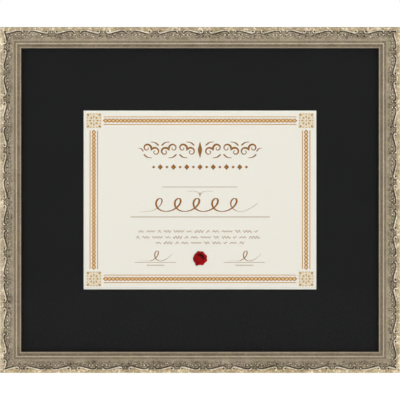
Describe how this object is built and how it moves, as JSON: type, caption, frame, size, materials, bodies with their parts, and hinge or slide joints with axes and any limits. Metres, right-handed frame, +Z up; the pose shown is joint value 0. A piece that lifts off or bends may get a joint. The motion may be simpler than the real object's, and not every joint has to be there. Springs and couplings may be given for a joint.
{
  "type": "picture frame",
  "caption": "Landscape wall picture frame with mitred scroll-ornamented rails, glass, black bevelled mat, paper certificate, wax seal, turn-button back and D-ring hangers.",
  "frame": {"origin": "on the wall plane, at the centre of the frame's outline", "axes": "+Z up, +X to the viewer's right, +Y back into the wall; the picture faces -Y"},
  "size_m": [0.47, 0.0273, 0.4064],
  "materials": {
    "gilt_wood": "satin",
    "gilt_compo": "satin",
    "picture_glass": "polished",
    "black_mat": "matte",
    "paper": "matte",
    "red_wax": "satin",
    "hinge_tape": "matte",
    "foam_board": "matte",
    "hardboard": "matte",
    "zinc_steel": "satin",
    "rubber": "matte"
  },
  "bodies": {
    "frame": {"top_rail": "gilt_wood", "bottom_rail": "gilt_wood", "left_rail": "gilt_wood", "right_rail": "gilt_wood", "top_ornament": "gilt_compo", "bottom_ornament": "gilt_compo", "left_ornament": "gilt_compo", "right_ornament": "gilt_compo", "glazing": "picture_glass", "mat_board": "black_mat", "certificate": "paper", "wax_seal": "red_wax", "hinge_tape_1": "hinge_tape", "hinge_tape_2": "hinge_tape", "mount_board": "foam_board", "backing_board": "hardboard", "v_nail_top_left_1": "zinc_steel", "v_nail_top_left_2": "zinc_steel", "v_nail_top_right_1": "zinc_steel", "v_nail_top_right_2": "zinc_steel", "v_nail_bottom_left_1": "zinc_steel", "v_nail_bottom_left_2": "zinc_steel", "v_nail_bottom_right_1": "zinc_steel", "v_nail_bottom_right_2": "zinc_steel", "hanger_strap_left": "zinc_steel", "hanger_screw_left": "zinc_steel", "bumper_left": "rubber", "hanger_strap_right": "zinc_steel", "hanger_screw_right": "zinc_steel", "bumper_right": "rubber", "turn_screw_top_1": "zinc_steel", "turn_screw_top_2": "zinc_steel", "turn_screw_bottom_1": "zinc_steel", "turn_screw_bottom_2": "zinc_steel", "turn_screw_left_1": "zinc_steel", "turn_screw_left_2": "zinc_steel", "turn_screw_right_1": "zinc_steel", "turn_screw_right_2": "zinc_steel"},
    "button_top_1": {"turn_button_top_1": "zinc_steel"},
    "button_top_2": {"turn_button_top_2": "zinc_steel"},
    "button_bottom_1": {"turn_button_bottom_1": "zinc_steel"},
    "button_bottom_2": {"turn_button_bottom_2": "zinc_steel"},
    "button_left_1": {"turn_button_left_1": "zinc_steel"},
    "button_left_2": {"turn_button_left_2": "zinc_steel"},
    "button_right_1": {"turn_button_right_1": "zinc_steel"},
    "button_right_2": {"turn_button_right_2": "zinc_steel"},
    "ring_left": {"d_ring_left": "zinc_steel"},
    "ring_right": {"d_ring_right": "zinc_steel"}
  },
  "joints": [
    {"name": "turn_top_1", "type": "hinge", "parent": "frame", "child": "button_top_1", "pos_m": [-0.14495, -0.0049, 0.19395], "axis": [0, 1, 0], "continuous": true},
    {"name": "turn_top_2", "type": "hinge", "parent": "frame", "child": "button_top_2", "pos_m": [0.14495, -0.0049, 0.19395], "axis": [0, 1, 0], "continuous": true},
    {"name": "turn_bottom_1", "type": "hinge", "parent": "frame", "child": "button_bottom_1", "pos_m": [0.14495, -0.0049, -0.19395], "axis": [0, 1, 0], "continuous": true},
    {"name": "turn_bottom_2", "type": "hinge", "parent": "frame", "child": "button_bottom_2", "pos_m": [-0.14495, -0.0049, -0.19395], "axis": [0, 1, 0], "continuous": true},
    {"name": "turn_left_1", "type": "hinge", "parent": "frame", "child": "button_left_1", "pos_m": [-0.2257, -0.0049, -0.1132], "axis": [0, 1, 0], "continuous": true},
    {"name": "turn_left_2", "type": "hinge", "parent": "frame", "child": "button_left_2", "pos_m": [-0.2257, -0.0049, 0.1132], "axis": [0, 1, 0], "continuous": true},
    {"name": "turn_right_1", "type": "hinge", "parent": "frame", "child": "button_right_1", "pos_m": [0.2257, -0.0049, 0.1132], "axis": [0, 1, 0], "continuous": true},
    {"name": "turn_right_2", "type": "hinge", "parent": "frame", "child": "button_right_2", "pos_m": [0.2257, -0.0049, -0.1132], "axis": [0, 1, 0], "continuous": true},
    {"name": "ring_swing_left", "type": "hinge", "parent": "frame", "child": "ring_left", "pos_m": [-0.2257, -0.0029, 0.075], "axis": [1, 0, 0], "range_deg": [0, 180]},
    {"name": "ring_swing_right", "type": "hinge", "parent": "frame", "child": "ring_right", "pos_m": [0.2257, -0.0029, 0.075], "axis": [1, 0, 0], "range_deg": [0, 180]}
  ]
}
